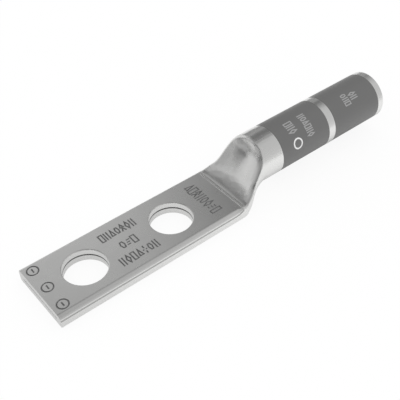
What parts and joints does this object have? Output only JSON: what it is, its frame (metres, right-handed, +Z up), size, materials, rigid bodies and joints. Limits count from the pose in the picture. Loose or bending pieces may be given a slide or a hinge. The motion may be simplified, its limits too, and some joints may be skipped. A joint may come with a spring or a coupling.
{
  "type": "two-hole compression lug",
  "caption": "Tin-plated copper cable lug: a round crimp barrel narrowing through a formed ramp into a flat double-layer tongue with stud holes.",
  "frame": {"origin": "middle of the two stud holes on the contact face of the tongue", "axes": "+X along the tongue towards the cable mouth, +Z up, out of the contact face through the metal"},
  "size_m": [0.0681, 0.012, 0.0096],
  "materials": {
    "tinned_copper": "dull tin plating on copper"
  },
  "bodies": {
    "root": {"lug": "tinned_copper"}
  },
  "joints": []
}
